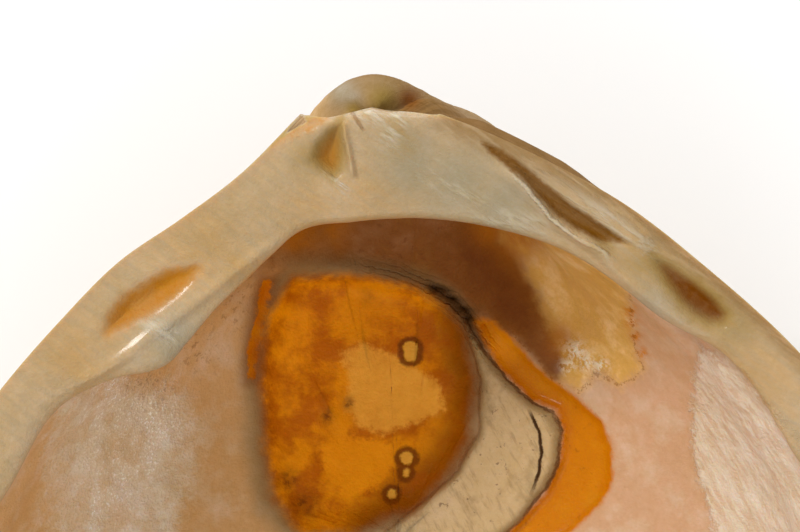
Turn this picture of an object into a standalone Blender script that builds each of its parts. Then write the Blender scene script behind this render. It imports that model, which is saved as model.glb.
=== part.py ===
"""One valve of a smooth cockle, lying on its back with the hollow up.

The valve is one solid, because it grew as one piece. Its outside is a growth spiral: the lip's outline,
shrunk and turned about the hinge axis, leads back to the beak. Its inside is a fan of profiles round the
hollow's middle, each running from the lip over the hinge shelf, round the shelf's nose, under it and down
the wall to the floor. Teeth, sockets, the ligament's groove and the broken blister are then joined on or
cut in.

The design frame has its XY plane at the lips and its origin at the beak: +X runs to the back of the animal,
+Y past the hinge, and +Z out of the hollow. The finished valve is tipped into the pose in which it rests
and stood on Z = 0.
"""

import math

import bmesh
import bpy
import numpy as np
from mathutils import Matrix, Vector
from mathutils.bvhtree import BVHTree

MM = 0.001
TAU = 2 * math.pi

# Edge of the lips from the front of the beak, round the belly side, to the back of the beak
LIP = MM * np.array([
    (-3.9, 0.0), (-7.2, -3.3), (-10.4, -5.7), (-13.6, -7.9), (-16.9, -11.2), (-20.1, -14.9),
    (-23.9, -20.3), (-26.9, -26.8), (-27.9, -33.8), (-26.3, -41.3), (-21.7, -48.4), (-14.2, -54.0),
    (-4.5, -57.3), (5.8, -57.5), (15.5, -54.8), (23.6, -49.4), (29.3, -41.9), (31.7, -33.8),
    (30.9, -26.2), (27.7, -18.9), (23.0, -12.8), (18.2, -8.4), (13.4, -4.7), (10.2, -2.9), (8.0, -1.8),
    (5.8, -0.8), (3.7, 0.0),
])

# Edge of the hollow: the hinge shelf's nose, then the inside of the lip
HOLLOW_EDGE = MM * np.array([
    (-3.9, -6.3), (-5.5, -7.8), (-6.6, -9.0), (-7.9, -10.6), (-9.3, -12.5), (-10.9, -13.6), (-14.1, -14.4),
    (-16.3, -15.4), (-19.6, -20.2), (-23.0, -26.8), (-24.6, -33.4), (-23.4, -39.9), (-19.5, -46.2),
    (-12.8, -51.5), (-4.0, -54.6), (5.5, -54.7), (14.3, -52.1), (21.5, -47.1), (26.5, -40.3), (28.5, -33.4),
    (27.2, -26.6), (23.6, -19.6), (18.8, -12.8), (15.8, -11.1), (13.7, -9.5), (10.7, -7.5), (6.9, -6.2),
    (2.1, -5.6), (-1.0, -5.8),
])
MIDDLE = MM * Vector((1.5, -24.1, -1.0))

# Growth spiral round the hinge axis, which is parallel to X. The last lines tune its flanks: how far they
# stand out or fall in, and where that starts, is full and stops, in shares of the lip and of the scale
AXIS_DROP = 0.8 * MM
TIGHTNESS = 1.2
DEPTH_STRETCH = 1.22
FULL_DEPTH = 19.6 * MM
ROUNDNESS = 1.4
BACK_SHOULDER = 1.3 * MM
FRONT_HOLLOW = 1.2 * MM
BACK_STRIP = 0.75 * MM
SHOULDER_SCALE = 0.24
SHOULDER_SPREAD = 0.55
SHOULDER_END = (0.5, 0.95)
BACK_FLANK = (0.5, 0.68, 0.93, 0.995)
FRONT_FLANK = (0.02, 0.1, 0.3, 0.45)
STRIP_FLANK = (0.925, 0.95, 0.98, 1.0)
STRIP_SCALES = (0.3, 0.7, 0.88, 1.0)
SMALLEST_SCALE = 0.0065
GROWTH_ROWS = 18

# Ribs of the outside, and the stretch of the lip that they cover, as shares of its length
RIB_COUNT = 40
RIB_HEIGHT = 0.28 * MM
RIBBED = (0.16, 0.84)
RIB_FADE = 0.12
RIBBED_SCALES = (0.12, 0.6)
COLUMNS_PER_RIB = 2
SMOOTH_COLUMNS = 12

# Inside: the shelf's sides in bearings round the middle, its section from the lip to its root as reach past
# the hollow's edge and height, and the wall behind it
SHELF_BEARINGS = [math.radians(a) for a in (28, 62, 118, 156)]
SHELF_THICKNESS = 3.3 * MM
SHELF_OVERHANG = 4.4 * MM
SHELF_DROP = 0.7 * MM
LIP_BEVEL = (0.35 * MM, -0.04 * MM)
LIP_BEVEL_SHARE = 0.2
SHELF_SHARES = (0.3, 0.55, 0.8)
NOSE_TOP = (0.1 * MM, -SHELF_DROP - 0.15 * MM)
SHELF_NOSE = [
    (0.0, -SHELF_DROP - 0.8 * MM),
    (0.3 * MM, -SHELF_DROP - 1.9 * MM),
    (0.5 * SHELF_OVERHANG, -SHELF_THICKNESS),
    (SHELF_OVERHANG, -SHELF_THICKNESS - 1.2 * MM),
]
NOSE_DIP_STEP = math.radians(3.0)
WALL_BLEND = 0.3
STEEPEST_WALL = 0.6
WALL = 2.0 * MM
WALL_ROWS = 9

# Ridges joined on: points along the top, and radius. The side teeth, and the tooth beside the beak's pit
FRONT_TOOTH = MM * np.array([
    (-15.0, -14.3, -0.8), (-12.5, -13.2, -0.6), (-10.7, -12.3, -0.5), (-9.7, -11.0, -0.5),
    (-8.3, -9.4, -0.7), (-6.7, -7.9, -0.9), (-5.2, -6.6, -1.1),
])
BACK_TOOTH = MM * np.array([
    (11.3, -7.2, -0.9), (13.9, -8.6, -0.7), (16.1, -10.1, -0.7), (18.0, -11.4, -0.9),
])
BEAK_TOOTH = MM * np.array([(-1.7, -0.6, -0.1), (-1.35, -2.2, 0.0), (-1.1, -3.8, -0.3)])
SIDE_TOOTH_RADIUS = 1.0 * MM
BEAK_TOOTH_RADIUS = 0.35 * MM
RIDGE_END_SHARE = 0.6

# Hollows cut in: middle, half length, half width, half depth and turn of each socket
SOCKETS = [
    ((-11.9, -9.9, 0.3), (2.9, 1.25, 1.6), 32),
    ((17.6, -9.3, 0.3), (2.6, 1.05, 1.6), -41),
    ((-2.4, -1.9, 0.3), (1.6, 0.75, 1.5), 80),
]
LIGAMENT_GROOVE = MM * np.array([
    (5.6, -1.9, 0.1), (8.6, -3.2, -0.2), (11.8, -5.0, -0.2), (14.6, -6.7, 0.1),
])
LIGAMENT_GROOVE_RADIUS = 0.6 * MM

# Broken blister on the floor: the chamber under its lost roof, and the part of the roof that is left. Both
# outlines are in the lips' plane, as seen from a point above the hinge, and are carried down to the floor
SEEN_FROM = MM * np.array([1.5, -8.2, 240.0])
BLISTER_DEPTH = 15.5 * MM
CHAMBER = MM * np.array([
    (-4.4, -8.7), (-1.2, -8.5), (2.1, -9.3), (3.9, -10.2), (5.0, -11.7), (5.6, -14.4), (5.3, -17.3),
    (4.2, -19.5), (2.3, -21.3), (-0.8, -22.7), (-3.9, -22.7), (-5.5, -20.9), (-6.0, -17.6),
    (-6.2, -14.4), (-5.7, -11.1),
])
ROOF_LEFT = MM * np.array([
    (5.0, -11.3), (6.9, -13.8), (8.6, -15.5), (9.9, -16.0), (10.2, -17.1), (10.0, -18.7), (9.2, -20.3),
    (8.0, -21.7), (5.5, -23.1), (2.0, -22.9), (0.6, -22.4), (2.9, -20.9), (4.7, -19.2), (5.7, -17.3),
    (5.9, -14.4),
])
CHAMBER_WALL = 0.9 * MM
ROOF_STEP = 0.6 * MM
PATCH_RINGS = 4

# Pose at rest, and the depth of the worn flat that it rests on
REST_TILT = math.radians(6.5)
WORN_FLAT_DEPTH = 0.42 * MM
WORN_CUTTER_SIZE = 60 * MM

SHELL_COLOUR = (0.62, 0.47, 0.30, 1.0)
SHELL_ROUGHNESS = 0.35


def ease(value, low, high):
    """0 at low, 1 at high, and a smooth rise between them."""
    t = np.clip((value - low) / (high - low), 0, 1)
    return t * t * (3 - 2 * t)


def between(value, start, full, still_full, end):
    """0 up to start, 1 from full to still_full, and 0 again from end."""
    return ease(value, start, full) * (1 - ease(value, still_full, end))


def hermite(knots, values, at):
    """Smooth curve through values at knots, read at the given places."""
    slopes = np.gradient(values, knots, axis=0)
    left = np.clip(np.searchsorted(knots, at, side="right") - 1, 0, len(knots) - 2)
    width = knots[left + 1] - knots[left]
    t = (at - knots[left]) / width
    if values.ndim > 1:
        width, t = width[:, None], t[:, None]
    return (
        values[left] * (1 + 2 * t) * (1 - t) ** 2
        + values[left + 1] * t * t * (3 - 2 * t)
        + slopes[left] * width * t * (1 - t) ** 2
        - slopes[left + 1] * width * t * t * (1 - t)
    )


def lip_points(shares):
    """Points of the lip's edge at shares of its length, from the front of the beak to the back."""
    chord = np.concatenate([[0], np.cumsum(np.linalg.norm(np.diff(LIP, axis=0), axis=1))])
    return hermite(chord / chord[-1], LIP, shares)


def lip_shares():
    """Shares of the lip's length for the mesh's columns: smooth front, ribs, smooth back."""
    first, last = RIBBED
    front = np.linspace(0, first, SMOOTH_COLUMNS, endpoint=False)
    ribs = np.linspace(first, last, RIB_COUNT * COLUMNS_PER_RIB, endpoint=False)
    back = np.linspace(last, 1, SMOOTH_COLUMNS + 1)
    return np.concatenate([front, ribs, back])


def growth_scales(rows):
    """Sizes of the growth lines against the lip, from 1 down to the beak's tip."""
    return np.linspace(1, math.sqrt(SMALLEST_SCALE), rows + 1) ** 2


def outside_grid(shares, scales, rib_height):
    """Points of the outside: a row for each growth line and a column for each share of the lip."""
    lip = lip_points(shares)
    turn = -np.log(scales)[:, None] / TIGHTNESS
    scale = scales[:, None]
    x, y = lip[:, 0], lip[:, 1]
    bare = np.stack([
        scale * x,
        scale * (y * np.cos(turn) - AXIS_DROP * np.sin(turn)),
        scale * DEPTH_STRETCH * (y * np.sin(turn) + AXIS_DROP * np.cos(turn)) - AXIS_DROP * DEPTH_STRETCH,
    ], axis=-1)
    deep = np.clip(-bare[..., 2] / FULL_DEPTH, 0, 0.999)
    bare[..., 2] -= FULL_DEPTH * (1 - (1 - deep) ** ROUNDNESS - deep)
    bare[0, :, 2] = 0
    shoulder = np.exp(-(np.log(scale / SHOULDER_SCALE) / SHOULDER_SPREAD) ** 2)
    shoulder = shoulder * (1 - ease(scale, *SHOULDER_END))
    flanks = BACK_SHOULDER * between(shares, *BACK_FLANK) - FRONT_HOLLOW * between(shares, *FRONT_FLANK)
    bare[..., 1] += flanks * shoulder
    bare[..., 1] += BACK_STRIP * between(scale, *STRIP_SCALES) * between(shares, *STRIP_FLANK)
    first, last = RIBBED
    wave = 0.5 - 0.5 * np.cos(TAU * RIB_COUNT * (shares - first) / (last - first))
    inside_ribs = between(shares, first, first + RIB_FADE, last - RIB_FADE, last)
    height = rib_height * wave * inside_ribs * ease(scale, *RIBBED_SCALES)
    normal = np.cross(np.gradient(bare, axis=1), np.gradient(bare, axis=0))
    normal /= np.maximum(np.linalg.norm(normal, axis=-1, keepdims=True), 1e-12)
    bare[:, 1:-1] += (height[..., None] * normal)[:, 1:-1]
    return bare


def bearings_of(points):
    """Bearings round the hollow's middle, which rise from the back of the beak to the front and the belly."""
    turn = np.arctan2(points[:, 1] - MIDDLE.y, points[:, 0] - MIDDLE.x)
    return turn % TAU


def hollow_edge_reach(bearings):
    """Distance from the middle to the hollow's edge at each bearing."""
    knots = bearings_of(HOLLOW_EDGE)
    order = np.argsort(knots)
    reach = np.linalg.norm(HOLLOW_EDGE - np.array(MIDDLE)[:2], axis=1)[order]
    knots = knots[order]
    knots = np.concatenate([knots[-3:] - TAU, knots, knots[:3] + TAU])
    reach = np.concatenate([reach[-3:], reach, reach[:3]])
    return hermite(knots, reach, bearings)


def shelf_strength(bearings):
    """1 where the hinge shelf is full, 0 round the belly side."""
    return between(bearings, *SHELF_BEARINGS)


def wall_reach(tree, bearing, dip):
    """Distance from the middle to the hollow's wall, along a bearing and a dip below the lips."""
    ray = Vector((math.cos(bearing) * math.cos(dip), math.sin(bearing) * math.cos(dip), -math.sin(dip)))
    _, normal, _, distance = tree.ray_cast(MIDDLE, ray)
    return distance - WALL / max(abs(normal.dot(ray)), STEEPEST_WALL)


def inside_profile(tree, rim, bearing, edge, shelf, wall_rows):
    """Points from the lip to the floor at one bearing, without the lip's own point and the pole."""
    rim_reach = math.hypot(rim[0] - MIDDLE.x, rim[1] - MIDDLE.y)
    width = rim_reach - edge
    bare = 1 - shelf
    section = [(rim_reach - min(LIP_BEVEL[0], LIP_BEVEL_SHARE * width), LIP_BEVEL[1])]
    for share in SHELF_SHARES:
        section.append((rim_reach - share * width, -SHELF_DROP * share ** 2))
    nose_reach, nose_height = edge + NOSE_TOP[0], NOSE_TOP[1]
    section.append((nose_reach, nose_height))
    nose_dip = math.atan2(MIDDLE.z - nose_height, nose_reach)
    nose_far = math.hypot(nose_reach, MIDDLE.z - nose_height)
    for step, (past_edge, height) in enumerate(SHELF_NOSE, start=1):
        dip = nose_dip + NOSE_DIP_STEP * step
        onto_wall = min(step / (len(SHELF_NOSE) - 1), 1)
        far = nose_far + (wall_reach(tree, bearing, dip) - nose_far) * onto_wall
        section.append((
            shelf * (edge + past_edge) + bare * far * math.cos(dip),
            shelf * height + bare * (MIDDLE.z - far * math.sin(dip)),
        ))
    last_reach, last_height = section[-1]
    first_dip = math.atan2(MIDDLE.z - last_height, last_reach)
    first_far = math.hypot(last_reach, MIDDLE.z - last_height)
    wall = wall_reach(tree, bearing, first_dip)
    if first_far > wall:
        section[-1] = (wall * math.cos(first_dip), MIDDLE.z - wall * math.sin(first_dip))
        first_far = wall
    for row in range(1, wall_rows):
        share = row / wall_rows
        dip = first_dip + (math.pi / 2 - first_dip) * share
        blend = float(ease(share, 0, WALL_BLEND))
        far = first_far + (wall_reach(tree, bearing, dip) - first_far) * blend
        section.append((far * math.cos(dip), MIDDLE.z - far * math.sin(dip)))
    way = Vector((math.cos(bearing), math.sin(bearing), 0))
    return [Vector((MIDDLE.x + reach * way.x, MIDDLE.y + reach * way.y, z)) for reach, z in section]


def tree_of(grid):
    """Ray-casting tree of a grid of points."""
    rows, columns = grid.shape[:2]
    faces = [
        (r * columns + c, r * columns + c + 1, (r + 1) * columns + c + 1, (r + 1) * columns + c)
        for r in range(rows - 1)
        for c in range(columns - 1)
    ]
    return BVHTree.FromPolygons([Vector(p) for p in grid.reshape(-1, 3)], faces)


def valve_mesh(name, outside, tree):
    """The bare valve: outside, lip, shelf and hollow as one closed mesh."""
    tip = Vector((0.0, 0.0, -AXIS_DROP * DEPTH_STRETCH))

    built = bmesh.new()
    sheet = [[built.verts.new(p) for p in row] for row in outside[:-1]]
    tip_vertex = built.verts.new(tip)
    for near, far in zip(sheet, sheet[1:]):
        for c in range(len(near) - 1):
            built.faces.new((near[c + 1], near[c], far[c], far[c + 1]))
    for one, other in zip(sheet[-1], sheet[-1][1:]):
        built.faces.new((other, one, tip_vertex))

    front_ray = [row[0] for row in sheet[1:]]
    back_ray = [row[-1] for row in sheet[1:]]
    rim = sheet[0] + back_ray + [tip_vertex] + front_ray[::-1]
    points = np.array([vertex.co for vertex in rim])
    bearings = bearings_of(points)
    edges = hollow_edge_reach(bearings)
    shelves = shelf_strength(bearings)
    columns = []
    for vertex, bearing, edge, shelf in zip(rim, bearings, edges, shelves):
        profile = inside_profile(tree, vertex.co, bearing, edge, shelf, WALL_ROWS)
        columns.append([vertex] + [built.verts.new(p) for p in profile])
    floor = MIDDLE - Vector((0, 0, wall_reach(tree, 0.0, math.pi / 2)))
    pole = built.verts.new(floor)
    for one, other in zip(columns, columns[1:] + columns[:1]):
        for r in range(len(one) - 1):
            built.faces.new((one[r], other[r], other[r + 1], one[r + 1]))
        built.faces.new((one[-1], other[-1], pole))
    bmesh.ops.remove_doubles(built, verts=built.verts[:], dist=0.02 * MM)
    bmesh.ops.dissolve_degenerate(built, edges=built.edges[:], dist=0.002 * MM)
    bmesh.ops.triangulate(built, faces=built.faces[:])
    bmesh.ops.recalc_face_normals(built, faces=built.faces[:])
    mesh = bpy.data.meshes.new(name)
    built.to_mesh(mesh)
    built.free()
    return mesh


def outside_below(tree, x, y):
    """Height of the outside straight below or above a point of the lips' plane."""
    place, _, _, _ = tree.ray_cast(Vector((x, y, 0.1)), Vector((0, 0, -1)))
    return place.z


def ridge(name, points, radius, collection):
    """Rounded bar along smooth points, as a closed mesh."""
    curve = bpy.data.curves.new(name, "CURVE")
    curve.dimensions = "3D"
    curve.resolution_u = 3
    curve.bevel_depth = radius
    curve.bevel_resolution = 2
    curve.use_fill_caps = True
    spline = curve.splines.new("BEZIER")
    spline.bezier_points.add(len(points) - 1)
    for number, (knot, point) in enumerate(zip(spline.bezier_points, points)):
        knot.co = point
        knot.handle_left_type = knot.handle_right_type = "AUTO"
        knot.radius = RIDGE_END_SHARE if number in (0, len(points) - 1) else 1.0
    holder = bpy.data.objects.new(name, curve)
    collection.objects.link(holder)
    mesh = bpy.data.meshes.new_from_object(holder.evaluated_get(bpy.context.evaluated_depsgraph_get()))
    bpy.data.objects.remove(holder)
    built = bmesh.new()
    built.from_mesh(mesh)
    bmesh.ops.remove_doubles(built, verts=built.verts[:], dist=0.001 * MM)
    bmesh.ops.recalc_face_normals(built, faces=built.faces[:])
    built.to_mesh(mesh)
    built.free()
    bar = bpy.data.objects.new(name, mesh)
    collection.objects.link(bar)
    return bar


def socket(name, middle, half_sizes, turn, collection):
    """Egg-shaped cutter standing in the shelf's top."""
    bpy.ops.mesh.primitive_uv_sphere_add(segments=16, ring_count=10, radius=1.0)
    egg = bpy.context.object
    egg.name = name
    egg.data.name = name
    egg.data.transform(
        Matrix.Translation(MM * Vector(middle))
        @ Matrix.Rotation(math.radians(turn), 4, "Z")
        @ Matrix.Diagonal((*(MM * Vector(half_sizes)), 1))
    )
    for holder in list(egg.users_collection):
        holder.objects.unlink(egg)
    collection.objects.link(egg)
    return egg


def carried_down(outline):
    """An outline of the lips' plane, carried down to the floor along the lines of sight."""
    spread = (SEEN_FROM[2] + BLISTER_DEPTH) / SEEN_FROM[2]
    return SEEN_FROM[:2] + (outline - SEEN_FROM[:2]) * spread


def floor_patch(name, outline, low, high, tree, collection):
    """Closed slab over an outline of the floor, between two heights above the outside."""
    middle = outline.mean(axis=0)
    built = bmesh.new()
    layers = []
    for lift in (low, high):
        centre = built.verts.new((*middle, outside_below(tree, *middle) + lift))
        loops = []
        for ring in range(1, PATCH_RINGS + 1):
            places = middle + (outline - middle) * ring / PATCH_RINGS
            loops.append([built.verts.new((x, y, outside_below(tree, x, y) + lift)) for x, y in places])
        layers.append((centre, loops))
    count = len(outline)
    for centre, loops in layers:
        for c in range(count):
            after = (c + 1) % count
            built.faces.new((centre, loops[0][c], loops[0][after]))
            for inner, outer in zip(loops, loops[1:]):
                built.faces.new((inner[c], outer[c], outer[after], inner[after]))
    floor_rim, top_rim = layers[0][1][-1], layers[1][1][-1]
    for c in range(count):
        after = (c + 1) % count
        built.faces.new((floor_rim[c], top_rim[c], top_rim[after], floor_rim[after]))
    bmesh.ops.triangulate(built, faces=built.faces[:])
    bmesh.ops.recalc_face_normals(built, faces=built.faces[:])
    mesh = bpy.data.meshes.new(name)
    built.to_mesh(mesh)
    built.free()
    patch = bpy.data.objects.new(name, mesh)
    collection.objects.link(patch)
    return patch


def combine(target, tool, operation):
    """Exact Boolean on the target. The tool stays as a hidden wire guide."""
    cut = target.modifiers.new(tool.name, "BOOLEAN")
    cut.operation = operation
    cut.solver = "EXACT"
    cut.object = tool
    tool.hide_render = True
    tool.display_type = "WIRE"


def shell_material():
    material = bpy.data.materials.new("shell")
    material.use_nodes = True
    shader = material.node_tree.nodes["Principled BSDF"]
    shader.inputs["Base Color"].default_value = SHELL_COLOUR
    shader.inputs["Roughness"].default_value = SHELL_ROUGHNESS
    shader.inputs["Metallic"].default_value = 0.0
    return material


def rest_place(outside):
    """Place of the tipped valve's frame: the middle of its box over the origin, the worn flat at Z = 0."""
    tipped = outside.reshape(-1, 3) @ np.array(Matrix.Rotation(REST_TILT, 3, "X")).T
    low, high = tipped.min(axis=0), tipped.max(axis=0)
    return Vector((-(low[0] + high[0]) / 2, -(low[1] + high[1]) / 2, -low[2] - WORN_FLAT_DEPTH))


def main():
    for thing in list(bpy.data.objects):
        bpy.data.objects.remove(thing)
    parts = bpy.data.collections.new("cockle_valve")
    guides = bpy.data.collections.new("guides")
    guides.hide_render = True
    for collection in (parts, guides):
        bpy.context.scene.collection.children.link(collection)

    outside = outside_grid(lip_shares(), growth_scales(GROWTH_ROWS), RIB_HEIGHT)
    smooth_outside = outside_grid(np.linspace(0, 1, 161), growth_scales(60), 0.0)
    tree = tree_of(smooth_outside)
    valve = bpy.data.objects.new("valve", valve_mesh("valve", outside, tree))
    valve.data.materials.append(shell_material())
    parts.objects.link(valve)

    chamber = floor_patch("chamber", carried_down(CHAMBER), CHAMBER_WALL, 3 * WALL, tree, guides)
    roof_outline = carried_down(ROOF_LEFT)
    roof = floor_patch("roof_left", roof_outline, 0.5 * CHAMBER_WALL, WALL + ROOF_STEP, tree, guides)
    combine(valve, chamber, "DIFFERENCE")
    combine(valve, roof, "UNION")
    combine(valve, ridge("front_tooth", FRONT_TOOTH, SIDE_TOOTH_RADIUS, guides), "UNION")
    combine(valve, ridge("back_tooth", BACK_TOOTH, SIDE_TOOTH_RADIUS, guides), "UNION")
    for number, (middle, half_sizes, turn) in enumerate(SOCKETS):
        combine(valve, socket(f"socket_{number}", middle, half_sizes, turn, guides), "DIFFERENCE")
    groove = ridge("ligament_groove", LIGAMENT_GROOVE, LIGAMENT_GROOVE_RADIUS, guides)
    combine(valve, groove, "DIFFERENCE")
    combine(valve, ridge("beak_tooth", BEAK_TOOTH, BEAK_TOOTH_RADIUS, guides), "UNION")

    pose = bpy.data.objects.new("rest_pose", None)
    pose.rotation_euler.x = REST_TILT
    pose.location = rest_place(outside)
    parts.objects.link(pose)
    for thing in [valve, *guides.objects]:
        thing.parent = pose

    bpy.ops.mesh.primitive_cube_add(size=WORN_CUTTER_SIZE, location=(0, 0, -WORN_CUTTER_SIZE / 2))
    ground = bpy.context.object
    ground.name = "worn_flat"
    for holder in list(ground.users_collection):
        holder.objects.unlink(ground)
    guides.objects.link(ground)
    combine(valve, ground, "DIFFERENCE")


main()
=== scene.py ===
"""One valve of a smooth cockle, seen from inside, dressed over its solid."""

import math

import bmesh
import bpy
import numpy as np
from mathutils import Matrix, Vector, noise
from mathutils.bvhtree import BVHTree


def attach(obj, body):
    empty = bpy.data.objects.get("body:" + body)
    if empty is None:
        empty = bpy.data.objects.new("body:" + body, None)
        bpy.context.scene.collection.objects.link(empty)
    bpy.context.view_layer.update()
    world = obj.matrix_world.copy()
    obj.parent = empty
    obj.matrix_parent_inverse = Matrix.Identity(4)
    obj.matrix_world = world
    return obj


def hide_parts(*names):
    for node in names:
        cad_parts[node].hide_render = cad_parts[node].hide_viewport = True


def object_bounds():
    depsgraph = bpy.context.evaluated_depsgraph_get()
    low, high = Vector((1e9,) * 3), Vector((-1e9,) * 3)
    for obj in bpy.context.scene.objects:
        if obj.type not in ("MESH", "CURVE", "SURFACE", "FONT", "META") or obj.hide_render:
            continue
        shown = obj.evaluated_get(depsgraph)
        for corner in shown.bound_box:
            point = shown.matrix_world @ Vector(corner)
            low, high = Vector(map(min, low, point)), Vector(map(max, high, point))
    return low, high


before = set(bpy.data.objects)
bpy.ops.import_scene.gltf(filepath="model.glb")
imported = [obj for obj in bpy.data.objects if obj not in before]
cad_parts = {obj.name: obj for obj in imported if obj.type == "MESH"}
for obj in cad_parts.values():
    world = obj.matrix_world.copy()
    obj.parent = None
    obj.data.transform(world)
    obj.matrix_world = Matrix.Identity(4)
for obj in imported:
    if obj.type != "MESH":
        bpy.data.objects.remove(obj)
solid_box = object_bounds()

# The outside of the valve is calcite laid down along the lip, line by line, while the animal grew. Each
# growth line is the lip's outline made smaller and turned about the hinge axis, which leads back to the beak.
MM = 0.001
TAU = 2 * math.pi
LIP = MM * np.array([
    (-3.9, 0.0), (-7.2, -3.3), (-10.4, -5.7), (-13.6, -7.9), (-16.9, -11.2), (-20.1, -14.9), (-23.9, -20.3),
    (-26.9, -26.8), (-27.9, -33.8), (-26.3, -41.3), (-21.7, -48.4), (-14.2, -54.0), (-4.5, -57.3),
    (5.8, -57.5), (15.5, -54.8), (23.6, -49.4), (29.3, -41.9), (31.7, -33.8), (30.9, -26.2), (27.7, -18.9),
    (23.0, -12.8), (18.2, -8.4), (13.4, -4.7), (10.2, -2.9), (8.0, -1.8), (5.8, -0.8), (3.7, 0.0),
])
AXIS_DROP = 0.8 * MM
TIGHTNESS = 1.2
DEPTH_STRETCH = 1.22
FULL_DEPTH = 19.6 * MM
ROUNDNESS = 1.4
BACK_SHOULDER = 1.5 * MM
FRONT_HOLLOW = 1.2 * MM
BACK_STRIP = 0.75 * MM
SHOULDER_SCALE, SHOULDER_REACH = 0.24, 0.55
SMALLEST_SCALE = 0.0065
RIBBED = (0.16, 0.84)
RIB_COUNT = 40
RIB_HEIGHT = 0.28 * MM
COLUMNS_PER_RIB = 5
FRONT_COLUMNS, BACK_COLUMNS = 76, 92
GROWTH_ROWS = 60


def ease(value, low, high):
    """0 at low, 1 at high, and a smooth rise between them."""
    t = np.clip((value - low) / (high - low), 0, 1)
    return t * t * (3 - 2 * t)


def hump(value, low, full, fading, gone):
    """0 at low, 1 from full to fading, and 0 again at gone."""
    return ease(value, low, full) * (1 - ease(value, fading, gone))


def bell(distance, width):
    """1 at no distance, and a soft fall to almost 0 at twice the width."""
    return np.exp(-(distance / width) ** 2)


def hermite(knots, values, at):
    """Smooth curve through values at knots, read at the given places."""
    slopes = np.gradient(values, knots, axis=0)
    left = np.clip(np.searchsorted(knots, at, side="right") - 1, 0, len(knots) - 2)
    width = knots[left + 1] - knots[left]
    t = (at - knots[left]) / width
    if values.ndim > 1:
        width, t = width[:, None], t[:, None]
    return (
        values[left] * (1 + 2 * t) * (1 - t) ** 2
        + values[left + 1] * t * t * (3 - 2 * t)
        + slopes[left] * width * t * (1 - t) ** 2
        - slopes[left + 1] * width * t * t * (1 - t)
    )


def unit(vectors):
    return vectors / np.maximum(np.linalg.norm(vectors, axis=-1, keepdims=True), 1e-12)


def outside_grid(shares, scales):
    """Points of the bare outside: a row for each growth line and a column for each share of the lip."""
    chord = np.concatenate([[0], np.cumsum(np.linalg.norm(np.diff(LIP, axis=0), axis=1))])
    lip = hermite(chord / chord[-1], LIP, shares)
    turn = -np.log(scales)[:, None] / TIGHTNESS
    scale = scales[:, None]
    x, y = lip[:, 0], lip[:, 1]
    bare = np.stack([
        scale * x,
        scale * (y * np.cos(turn) - AXIS_DROP * np.sin(turn)),
        scale * DEPTH_STRETCH * (y * np.sin(turn) + AXIS_DROP * np.cos(turn)) - AXIS_DROP * DEPTH_STRETCH,
    ], axis=-1)
    deep = np.clip(-bare[..., 2] / FULL_DEPTH, 0, 0.999)
    bare[..., 2] -= FULL_DEPTH * (1 - (1 - deep) ** ROUNDNESS - deep)
    bare[0, :, 2] = 0
    shoulder = bell(np.log(scale / SHOULDER_SCALE), SHOULDER_REACH) * (1 - ease(scale, 0.5, 0.95))
    back, front = hump(shares, 0.5, 0.68, 0.93, 0.995), hump(shares, 0.02, 0.1, 0.3, 0.45)
    bare[..., 1] += (BACK_SHOULDER * back - FRONT_HOLLOW * front) * shoulder
    bare[..., 1] += BACK_STRIP * hump(1 - scale, 0, 0.12, 0.3, 0.7) * hump(shares, 0.925, 0.95, 0.98, 1.0)
    return bare


def growth_scales(rows):
    """Sizes of the growth lines against the lip, from 1 down to the beak's tip."""
    return np.linspace(1, math.sqrt(SMALLEST_SCALE), rows + 1) ** 2


lip_shares = np.concatenate([
    np.linspace(0, RIBBED[0], FRONT_COLUMNS, endpoint=False),
    np.linspace(*RIBBED, RIB_COUNT * COLUMNS_PER_RIB, endpoint=False),
    np.linspace(RIBBED[1], 1, BACK_COLUMNS + 1),
])
growth_lines = growth_scales(GROWTH_ROWS)
outside = outside_grid(lip_shares, growth_lines)[:-1]
beak_tip = np.array([0.0, 0.0, -AXIS_DROP * DEPTH_STRETCH])

# The inside is aragonite, glazed where the mantle touched it. At the hinge it is thickened into a shelf that
# overhangs the deep end of the hollow. It is a fan of profiles round the hollow's middle, from lip to floor.
HOLLOW_EDGE = MM * np.array([
    (-3.9, -6.3), (-5.6, -7.7), (-6.8, -8.9), (-8.4, -10.5), (-9.9, -12.3), (-11.3, -13.6), (-14.1, -14.4),
    (-16.3, -15.4), (-19.6, -20.2), (-23.0, -26.8), (-24.6, -33.4), (-23.4, -39.9), (-19.5, -46.2),
    (-12.8, -51.5), (-4.0, -54.6), (5.5, -54.7), (14.3, -52.1), (21.5, -47.1), (26.5, -40.3), (28.5, -33.4),
    (27.2, -26.6), (23.6, -19.6), (18.8, -12.8), (15.8, -11.1), (13.7, -9.5), (10.7, -7.5), (6.9, -6.2),
    (2.1, -5.6), (-1.0, -5.8),
])
MIDDLE = MM * Vector((1.5, -24.1, -1.0))
SHELF_BEARINGS = [math.radians(a) for a in (28, 62, 118, 156)]
SHELF_THICKNESS = 3.3 * MM
SHELF_OVERHANG = 4.4 * MM
SHELF_DROP = 0.7 * MM
WALL = 2.0 * MM
LEAST_SLANT = 0.6
NOSE_FAN = math.radians(3.0)
WALL_STEPS = 14
SHELF_ROWS, NOSE_ROWS, WALL_ROWS = 38, 18, 94
BARE_ROWS, BARE_COLUMNS = 120, 320


def bearings_of(points):
    """Bearings round the hollow's middle."""
    return np.arctan2(points[:, 1] - MIDDLE.y, points[:, 0] - MIDDLE.x) % TAU


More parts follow.
